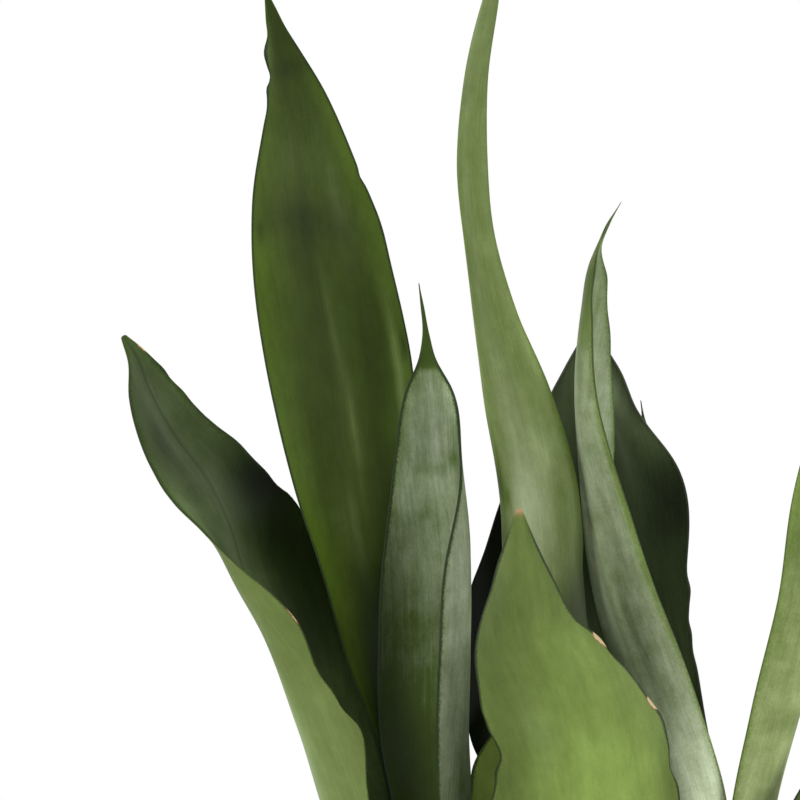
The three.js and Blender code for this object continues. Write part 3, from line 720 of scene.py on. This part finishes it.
def skin_fields(leaf, values, across, half, face):
    """What the leaf's material reads at each point of its surface."""
    z = values[:, 2, None]
    top = z[-1, 0]
    steps = np.linalg.norm(np.diff(values[:, :3], axis=0), axis=1)
    tone_and_light, bloom = tone_and_light_sums(leaf, z, across, face)
    bare_above = leaf.get("bare_above", NO_BARE)
    bare = smooth_step(z, bare_above + BARE_BLEND[0], bare_above + BARE_BLEND[1])
    scar = np.full_like(tone_and_light, NO_SCAR)
    for side, place, size, depth in leaf.get("scars", []):
        scar += (across * side > 0) * (depth - NO_SCAR) * np.exp(-(((z - place) / size) ** 4))
    return {
        "side": across * half,
        "along": np.concatenate([[0], np.cumsum(steps)])[:, None],
        "margin": (1 - np.abs(across)) * half,
        "wide": smooth_step(half, *LINE_WIDTHS),
        "inner": (face + 1) / 2,
        # The tone holds the patches' painted light and shade, and the darker bare spike.
        "tone_and_light": tone_and_light + BARE_STOPS * bare,
        "bloom": bloom - bare,
        "scar": scar,
        "dried": smooth_step(z, top - leaf["dried_tip"], top) if "dried_tip" in leaf else 0 * z,
        "low": 1 - smooth_step(z, *DUST_HEIGHTS),
    }


def leaf_piece(name, leaf, order):
    """One blade: rounded cross-sections along its midrib, a rounded tip and a flat foot."""
    rows = leaf_rows(leaf)
    top = rows[-1, 2]
    values, along = smooth_rows(rows)
    z, _, left, left_turn, right, right_turn = (values[:, k, None] for k in range(2, 8))
    if "bare_above" in leaf:
        taper = 1 - SPIKE_TAPER * smooth_step(z, top - SPIKE_END, top)
        left, right = left * taper, right * taper
    rise = (z - LEAF_FOOT) / (top - LEAF_FOOT)
    phase = order * PHASE_STEP

    around = np.pi * np.arange(2 * SPANS_ACROSS)[None, :] / SPANS_ACROSS
    across = -np.cos(around)
    face = np.sign(np.round(np.sin(around), 6))
    half = np.where(across < 0, left, right)
    turn = np.radians(np.where(across < 0, left_turn, right_turn))
    nicked = across * (1 + outline_change(leaf, z, across) / half * np.abs(across) ** NICK_POWER)
    thick = half_thickness(left, right, half, across, rise)
    lift = out_of_surface(z, across, rise, phase) + thick * face
    points = curled_points(values, along, half / turn, nicked * turn, lift)

    end = points[-1]
    middle = end.mean(axis=0)
    tip_rings = [
        middle + (end - middle) * math.cos(a) + along[-1] * TIP_ROUND * math.sin(a)
        for a in np.radians(TIP_RINGS)
    ]
    rings = np.concatenate([points, tip_rings])
    verts = np.vstack([rings.reshape(-1, 3), points[0].mean(axis=0), middle + along[-1] * TIP_ROUND])
    attributes = {}
    for key, field in skin_fields(leaf, values, across, half, face).items():
        field = np.broadcast_to(field, half.shape)
        ends = [field[0].mean(), field[-1].mean()]
        attributes[key] = np.concatenate([field.ravel(), np.tile(field[-1], len(tip_rings)), ends])
    return new_piece(f"blade_{name}", verts, closed_faces(len(rings), half.shape[1]), attributes)


# ---- pot and soil

def wall_radius(z):
    """Outside radius of the pot's wall at a height."""
    return POT_BASE_RADIUS + (POT_TOP_RADIUS - POT_BASE_RADIUS) * z / (POT_HEIGHT - RIM_HEIGHT)


def arc(r, z, radius, start, stop, steps):
    """Points of a round stretch of a profile, angles in degrees."""
    turns = np.radians(np.linspace(start, stop, steps + 1))
    return [(r + radius * math.cos(a), z + radius * math.sin(a)) for a in turns]


def revolve(name, profile, sides):
    """Turns a profile round the axis. Its first and last points lie on the axis."""
    rings = np.array(profile[1:-1])
    turns = 2 * np.pi * np.arange(sides) / sides
    points = np.stack([
        rings[:, 0, None] * np.cos(turns), rings[:, 0, None] * np.sin(turns),
        rings[:, 1, None] * np.ones(sides)], axis=-1).reshape(-1, 3)
    verts = np.vstack([points, (0, 0, profile[0][1]), (0, 0, profile[-1][1])])
    return new_piece(name, verts, closed_faces(len(rings), sides))


def pot_profile():
    """The pot's section: up the outside from the middle of the base, and back down the inside."""
    shoulder = POT_HEIGHT - RIM_HEIGHT
    step = shoulder + POT_WALL
    rim = POT_TOP_RADIUS + RIM_PROUD
    lip = POT_WALL / 2
    small = SHOULDER_ROUND / 2
    corner = arc(wall_radius(POT_CORNER) - POT_CORNER, POT_CORNER, POT_CORNER, -90, 0, steps=8)
    under_rim = arc(
        POT_TOP_RADIUS + SHOULDER_ROUND, shoulder - SHOULDER_ROUND, SHOULDER_ROUND, 180, 90, steps=5)
    rim_foot = arc(rim - small, shoulder + small, small, -90, 0, steps=5)
    top_lip = arc(rim - lip, POT_HEIGHT - lip, lip, 0, 180, steps=10)
    inside_step = arc(
        rim - POT_WALL - SHOULDER_ROUND, step + SHOULDER_ROUND, SHOULDER_ROUND, 0, -90, steps=5)
    inside_corner = arc(
        wall_radius(POT_FLOOR + INNER_CORNER) - POT_WALL - INNER_CORNER, POT_FLOOR + INNER_CORNER,
        INNER_CORNER, 0, -90, steps=6)
    base = [(r, 0) for r in FLOOR_RINGS]
    floor = [(r, POT_FLOOR) for r in reversed(FLOOR_RINGS)]
    outside_heights = np.linspace(WALL_LOW, shoulder - OUTSIDE_END, OUTSIDE_RINGS)
    inside_heights = np.linspace(shoulder - INSIDE_END, WALL_LOW, INSIDE_RINGS)
    wall = [(wall_radius(z), z) for z in outside_heights]
    inside = [(wall_radius(z) - POT_WALL, z) for z in inside_heights]
    return (
        [(0, 0)] + base + corner + wall + under_rim + rim_foot + top_lip + inside_step
        + [(wall_radius(step) - POT_WALL, step)] + inside + inside_corner + floor + [(0, POT_FLOOR)])


def drill(piece, radius, low, high, places):
    """Cuts an upright round hole into a piece, from low to high, at each of the places."""
    cutters = []
    for x, y in places:
        bpy.ops.mesh.primitive_cylinder_add(
            vertices=DRAIN_SIDES, radius=radius * MM, depth=(high - low) * MM,
            location=(x * MM, y * MM, (low + high) / 2 * MM))
        cutter = bpy.context.object
        cut = piece.modifiers.new("hole", "BOOLEAN")
        cut.object = cutter
        cut.solver = "EXACT"
        cutters.append(cutter)
    bpy.context.view_layer.update()
    shape = piece.evaluated_get(bpy.context.evaluated_depsgraph_get())
    mesh = bpy.data.meshes.new_from_object(shape)
    piece.modifiers.clear()
    piece.data = mesh
    for cutter in cutters:
        bpy.data.objects.remove(cutter)


def pot_piece():
    """The pot with its drain holes."""
    pot = revolve("nursery_pot", pot_profile(), POT_SIDES)
    turns = [(i + 0.5) / DRAIN_HOLES * 2 * math.pi for i in range(DRAIN_HOLES)]
    drill(pot, DRAIN_RADIUS, -DRILL_PAST, POT_FLOOR + DRILL_PAST, [
        (DRAIN_RING * math.cos(a), DRAIN_RING * math.sin(a)) for a in turns])
    pot.data.shade_smooth()
    pot.data.set_sharp_from_angle(angle=math.radians(SHARP_ANGLE))
    return pot


def soil_height(x, y):
    """The mound with broad lumps of the solid, and finer unevenness."""
    reach = math.hypot(x, y) / POT_TOP_RADIUS
    rate_x, start_x = LUMP_ALONG_X
    rate_y, start_y = LUMP_ALONG_Y
    slant_x, slant_y, slant_start = LUMP_SLANTING
    lumps = math.sin(x * rate_x + start_x) * math.cos(y * rate_y + start_y)
    lumps += SLANTING_SHARE * math.sin(x * slant_x + y * slant_y + slant_start)
    height = SOIL_TOP + SOIL_MOUND * (1 - reach**2)
    height += SOIL_RELIEF * lumps * min(1, LUMP_FADE * (1 - reach))
    fine = noise.fractal(Vector((x * ROUGH_SCALE, y * ROUGH_SCALE, ROUGH_LAYER)), *ROUGH_FRACTAL)
    return height + SOIL_ROUGH * fine * min(1, ROUGH_FADE * (1 - reach) + ROUGH_AT_POT)


def soil_piece():
    """The soil's body with an uneven top."""
    low = POT_FLOOR + SEAT_GAP
    edge = wall_radius(SOIL_TOP) - POT_WALL - SEAT_GAP
    foot = wall_radius(low + INNER_CORNER) - POT_WALL - SEAT_GAP
    profile = [(0, low), (foot - INNER_CORNER, low), (foot, low + INNER_CORNER)]
    profile += [(edge * k / SOIL_RINGS, SOIL_TOP) for k in range(SOIL_RINGS, 0, -1)]
    profile.append((0, SOIL_TOP))
    soil = revolve("potting_mix", profile, SOIL_SIDES)
    for vert in soil.data.vertices:
        if vert.co.z > (SOIL_TOP - 1) * MM:
            vert.co.z = soil_height(vert.co.x / MM, vert.co.y / MM) * MM
    return soil


def round_seed():
    """Points and faces of a small ball to make crumbs from."""
    bpy.ops.mesh.primitive_ico_sphere_add(subdivisions=2, radius=1)
    ball = bpy.context.object
    verts = np.array([v.co for v in ball.data.vertices])
    faces = np.array([tuple(p.vertices) for p in ball.data.polygons])
    bpy.data.objects.remove(ball)
    return verts, faces


def turned(points, tilt, spin):
    """Points tilted about the x axis and then spun about the upright one."""
    tilting = [[1, 0, 0], [0, math.cos(tilt), math.sin(tilt)], [0, -math.sin(tilt), math.cos(tilt)]]
    spinning = [[math.cos(spin), math.sin(spin), 0], [-math.sin(spin), math.cos(spin), 0], [0, 0, 1]]
    return points @ np.array(tilting) @ np.array(spinning)


def crumb_piece():
    """Peat, bark and perlite lying on the soil, as one mesh."""
    random = np.random.default_rng(CRUMB_SEED)
    ball, ball_faces = round_seed()
    verts, faces, kinds, shades = [], [], [], []
    edge = wall_radius(SOIL_TOP) - POT_WALL - CRUMB_CLEAR
    most = CRUMB_LUMPS_MOST
    for kind, crumb in enumerate(CRUMBS.values()):
        for _ in range(crumb["count"]):
            reach = edge * math.sqrt(random.random())
            turn = 2 * math.pi * random.random()
            x, y = reach * math.cos(turn), reach * math.sin(turn)
            size = random.uniform(*crumb["size"])
            lumps = 1 + CRUMB_LUMPS * random.standard_normal(len(ball))[:, None].clip(-most, most)
            shape = ball * lumps * (size * crumb["long"], size / crumb["long"], size * crumb["flat"])
            spin = 2 * math.pi * random.random()
            tilt = random.normal(0, CRUMB_TILT)
            height = soil_height(x, y) + size * crumb["flat"] * random.uniform(*CRUMB_LIE)
            faces.append(ball_faces + len(verts) * len(ball))
            verts.append(turned(shape, tilt, spin) + (x, y, height))
            kinds.append(kind)
            shades.append(random.random())
    attributes = {"kind": np.repeat(kinds, len(ball)), "shade": np.repeat(shades, len(ball))}
    return new_piece("soil_crumbs", np.vstack(verts), np.vstack(faces).tolist(), attributes)


# ---- materials

class Sketch:
    """A material's node tree with short calls for its nodes. A value is a number, a colour or a
    node's socket."""

    def __init__(self, name):
        self.material = bpy.data.materials.new(name)
        self.material.use_nodes = True
        self.tree = self.material.node_tree
        self.shader = self.tree.nodes["Principled BSDF"]

    def set(self, socket, value):
        if isinstance(value, bpy.types.NodeSocket):
            self.tree.links.new(value, socket)
        else:
            socket.default_value = value

    def node(self, kind, values=None, **settings):
        made = self.tree.nodes.new(kind)
        for key, value in settings.items():
            setattr(made, key, value)
        for key, value in (values or {}).items():
            self.set(made.inputs[key], value)
        return made

    def math(self, operation, *values, clamp=False):
        inputs = dict(enumerate(values))
        return self.node("ShaderNodeMath", inputs, operation=operation, use_clamp=clamp).outputs[0]

    def times(self, one, other):
        return self.math("MULTIPLY", one, other)

    def total(self, first, *others):
        for other in others:
            first = self.math("ADD", first, other)
        return first

    def attribute(self, name):
        return self.node("ShaderNodeAttribute", attribute_name=name).outputs["Fac"]

    def place(self):
        return self.node("ShaderNodeTexCoord").outputs["Object"]

    def vector(self, x, y, z):
        return self.node("ShaderNodeCombineXYZ", {"X": x, "Y": y, "Z": z}).outputs[0]

    def noise(self, vector, scale=1.0, detail=2.0, roughness=0.5):
        values = {"Vector": vector, "Scale": scale, "Detail": detail, "Roughness": roughness}
        return self.node("ShaderNodeTexNoise", values).outputs["Fac"]

    def mix(self, share, one, other):
        made = self.node("ShaderNodeMix", data_type="RGBA")
        self.set(made.inputs[0], share)
        self.set(made.inputs[6], one)
        self.set(made.inputs[7], other)
        return made.outputs[2]

    def scaled(self, colour, amount):
        values = {0: colour, "Scale": amount}
        return self.node("ShaderNodeVectorMath", values, operation="SCALE").outputs[0]

    def between(self, value, low, high, to_low=0.0, to_high=1.0):
        """Maps a value from low..high to another range, smoothly and clamped."""
        values = {"Value": value, "From Min": low, "From Max": high, "To Min": to_low, "To Max": to_high}
        return self.node("ShaderNodeMapRange", values, interpolation_type="SMOOTHSTEP").outputs[0]

    def bump(self, height, strength, distance):
        values = {"Strength": strength, "Distance": distance, "Height": height}
        return self.node("ShaderNodeBump", values).outputs[0]

    def surface(self, **values):
        for key, value in values.items():
            self.set(self.shader.inputs[key.replace("_", " ")], value)
        return self.material


def leaf_material(name, look, seed):
    """Leaf skin: fine streaks, blotches, a dark margin, a silvery bloom, dried spots, soil dust, and the
    light and shade that the patches paint and the shade painted in the midrib's groove.
    """
    s = Sketch(f"skin_{name}")
    side, along, margin, inner = (s.attribute(key) for key in ("side", "along", "margin", "inner"))
    layer = s.math("ADD", s.times(inner, FACE_SEED), seed * LEAF_SEED)
    noises = {
        key: s.noise(s.vector(s.times(side, across), s.times(along, up), layer), 1.0, detail, roughness)
        for key, (across, up, detail, roughness) in LEAF_NOISE.items()
    }
    bands = look["bands"]

    def weighed(key, weight):
        return s.times(s.math("SUBTRACT", noises[key], 0.5), weight)

    def frayed(value, amount):
        return s.math("ADD", value, weighed("speckle", amount))

    # Painted shade in the groove along the midrib, darkest at the midrib and gone by the reach's end.
    groove_shade = s.between(s.math("ABSOLUTE", side), *GROOVE_SHADE_REACH, look["groove_shade"], 0.0)
    # Stops of tone: the patches' tone with their painted light and shade, painted shade in the midrib's
    # groove on the inner face, and noise.
    stops = s.total(
        s.attribute("tone_and_light"), s.times(groove_shade, inner), weighed("fine", look["streaks"]),
        weighed("cross", bands), *(weighed(key, weight) for key, weight in TONE_NOISE.items()))
    face_bloom = s.between(inner, 0.0, 1.0, look["bloom"][1], look["bloom"][0])
    patchy = s.total(
        1.0, *(weighed(key, weight) for key, weight in BLOOM_NOISE.items()),
        *(weighed(key, weight * bands) for key, weight in BLOOM_BANDS.items()))
    # The patches' bloom changes; some of them paint a pale sheen.
    bloom = s.math("ADD", s.times(face_bloom, patchy), s.attribute("bloom"))
    bloom = s.math("MULTIPLY", bloom, s.between(frayed(margin, BLOOM_FRAY), *BLOOM_REACH), clamp=True)

    colour = s.mix(inner, look["outer"], look["inner"])
    colour = s.mix(bloom, colour, look["silver"])
    colour = s.scaled(colour, s.math("POWER", 2.0, stops))
    width = look["line"]
    strength = LINE_STRENGTH * min(1, width)
    line = s.between(frayed(margin, LINE_FRAY), LINE_CORE * width, width + LINE_SOFT, strength, 0.0)
    colour = s.mix(s.times(line, s.attribute("wide")), colour, look["edge"])
    scar = s.math("SUBTRACT", s.attribute("scar"), frayed(margin, SCAR_FRAY))
    colour = s.mix(s.between(scar, *SCAR_RIM), colour, SCAR_RIM_COLOUR)
    colour = s.mix(s.between(scar, *SCAR_BODY), colour, SCAR_COLOUR)
    colour = s.mix(s.attribute("dried"), colour, DRIED_COLOUR)
    dust = s.times(s.attribute("low"), s.between(noises["speckle"], *DUST_SPECKS))
    colour = s.mix(dust, colour, DUST_COLOUR)

    of_streaks, of_speckle = RIDGE_SHARES
    ridges = s.total(s.times(noises["fine"], of_streaks), s.times(noises["speckle"], of_speckle))
    rough = s.total(s.times(bloom, BLOOM_ROUGH), s.times(noises["fine"], STREAK_ROUGH), LEAF_ROUGH)
    return s.surface(
        Base_Color=colour, Roughness=rough, Normal=s.bump(ridges, strength=0.25, distance=0.0005),
        Specular_IOR_Level=LEAF_SPECULAR)


def plastic_material():
    """Dark satin plastic with a fine grain, flow marks and a little dust at the soil's height."""
    s = Sketch("moulded_plastic")
    place = s.place()
    grain = s.noise(place, scale=1600.0)
    stretched = s.node("ShaderNodeVectorMath", {0: place, 1: (14.0, 14.0, 90.0)}, operation="MULTIPLY")
    flow = s.noise(stretched.outputs[0])
    specks = s.between(s.noise(place, scale=60.0, detail=6.0, roughness=0.7), 0.45, 0.8)
    height = s.node("ShaderNodeSeparateXYZ", {0: place}).outputs["Z"]
    start, thickest, end = POT_DUST
    near_soil = s.times(s.between(height, start, thickest), s.between(height, thickest, end, 1.0, 0.0))
    dust = s.times(specks, s.total(s.times(near_soil, 0.09), 0.02))
    colour = s.mix(flow, srgb(33, 35, 35), srgb(45, 47, 46))
    colour = s.mix(dust, colour, srgb(112, 109, 104))
    rough = s.total(s.times(dust, 0.5), s.times(flow, 0.12), 0.34)
    return s.surface(
        Base_Color=colour, Roughness=rough, Normal=s.bump(grain, strength=0.15, distance=0.0002))


def soil_material():
    """Damp peat: dark brown with lighter fibres and dry patches."""
    s = Sketch("damp_peat")
    place = s.place()
    clumps = s.noise(place, scale=90.0, detail=6.0, roughness=0.65)
    fibres = s.noise(place, scale=700.0, detail=4.0, roughness=0.7)
    colour = s.mix(s.between(clumps, 0.35, 0.7), srgb(34, 25, 18), srgb(72, 54, 38))
    colour = s.mix(s.between(fibres, 0.58, 0.72, 0.0, 0.7), colour, srgb(104, 82, 58))
    height = s.total(s.times(clumps, 0.6), s.times(fibres, 0.4))
    return s.surface(
        Base_Color=colour, Roughness=0.92, Normal=s.bump(height, strength=0.9, distance=0.0014))


def crumb_material():
    """Crumbs coloured by their kind, dark to light, with a fine grain."""
    s = Sketch("soil_crumbs")
    kind, shade = s.attribute("kind"), s.attribute("shade")
    own_colours = [s.mix(shade, crumb["dark"], crumb["light"]) for crumb in CRUMBS.values()]
    colour = own_colours[0]
    for number, own in enumerate(own_colours[1:]):
        colour = s.mix(s.math("GREATER_THAN", kind, number + 0.5), colour, own)
    grain = s.noise(s.place(), scale=900.0, detail=4.0, roughness=0.7)
    colour = s.mix(s.between(grain, 0.4, 0.7, 0.0, 0.45), colour, srgb(52, 40, 30))
    return s.surface(
        Base_Color=colour, Roughness=0.9, Normal=s.bump(grain, strength=0.6, distance=0.0005))


def rhizome_material():
    """The underground stem: pale orange skin with brown scale rings."""
    s = Sketch("rhizome_skin")
    place = s.place()
    scales = s.noise(place, scale=160.0, detail=5.0, roughness=0.6)
    fibres = s.noise(place, scale=900.0, detail=3.0)
    colour = s.mix(s.between(scales, 0.4, 0.65), srgb(196, 140, 78), srgb(120, 82, 48))
    colour = s.mix(s.times(fibres, 0.3), colour, srgb(70, 50, 34))
    return s.surface(
        Base_Color=colour, Roughness=0.7, Normal=s.bump(fibres, strength=0.4, distance=0.0006))


def floor_material():
    """Pale matt studio paper, faintly mottled."""
    s = Sketch("studio_floor")
    mottle = s.noise(s.place(), scale=3.0, detail=3.0)
    return s.surface(Base_Color=s.mix(mottle, srgb(232, 232, 230), srgb(238, 238, 236)), Roughness=0.85)


# ---- stage

def make_floor():
    bpy.ops.mesh.primitive_circle_add(vertices=FLOOR_SIDES, radius=FLOOR_RADIUS, fill_type="NGON")
    floor = bpy.context.object
    floor.name = "floor"
    floor.data.materials.append(floor_material())


def make_lights():
    for name, (place, aim, size, power) in LIGHTS.items():
        light = bpy.data.lights.new(name, "AREA")
        light.shape = "SQUARE"
        light.size = size
        light.energy = power
        lamp = bpy.data.objects.new(name, light)
        lamp.location = place
        lamp.rotation_euler = (Vector(aim) - Vector(place)).to_track_quat("-Z", "Y").to_euler()
        bpy.context.scene.collection.objects.link(lamp)


def make_world():
    """White behind the plant, a dim even light round it and a brighter one in reflections."""
    world = bpy.data.worlds.new("studio")
    world.use_nodes = True
    tree = world.node_tree
    tree.nodes.clear()
    rays = tree.nodes.new("ShaderNodeLightPath")
    light = tree.nodes.new("ShaderNodeBackground")
    tree.links.new(light.outputs[0], tree.nodes.new("ShaderNodeOutputWorld").inputs[0])
    light.inputs["Color"].default_value = (1, 1, 1, 1)
    strength = light.inputs["Strength"]
    for ray, bright in (("Is Glossy Ray", GLOW), ("Is Camera Ray", BACKGROUND)):
        step = tree.nodes.new("ShaderNodeMath")
        step.operation = "MULTIPLY_ADD"
        step.inputs[1].default_value = bright - AMBIENT
        step.inputs[2].default_value = AMBIENT
        tree.links.new(rays.outputs[ray], step.inputs[0])
        tree.links.new(step.outputs[0], strength)
        strength = step.inputs[2]
    bpy.context.scene.world = world


def make_camera():
    camera = bpy.data.cameras.new("camera")
    camera.sensor_width = CAMERA_SENSOR
    camera.lens = CAMERA_SENSOR * -CAMERA_PLACE[1] / PICTURE_WIDTH
    holder = bpy.data.objects.new("camera", camera)
    holder.location = CAMERA_PLACE
    holder.rotation_euler = (math.pi / 2, 0, 0)
    bpy.context.scene.collection.objects.link(holder)
    bpy.context.scene.camera = holder


# ---- the scene

for order, (name, leaf) in enumerate(LEAVES.items()):
    blade = leaf_piece(name, leaf, order)
    finish_piece(blade, leaf_material(name, leaf["skin"], order), f"leaf_{name}")

finish_piece(pot_piece(), plastic_material(), "pot")
finish_piece(soil_piece(), soil_material(), "soil")
crumbs = crumb_piece()
crumbs.data.materials.append(crumb_material())
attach(crumbs, "root")

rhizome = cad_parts["rhizome"]
rhizome.data.materials.clear()
rhizome.data.materials.append(rhizome_material())

make_floor()
make_lights()
make_world()
make_camera()
bpy.context.scene.view_settings.view_transform = "Standard"
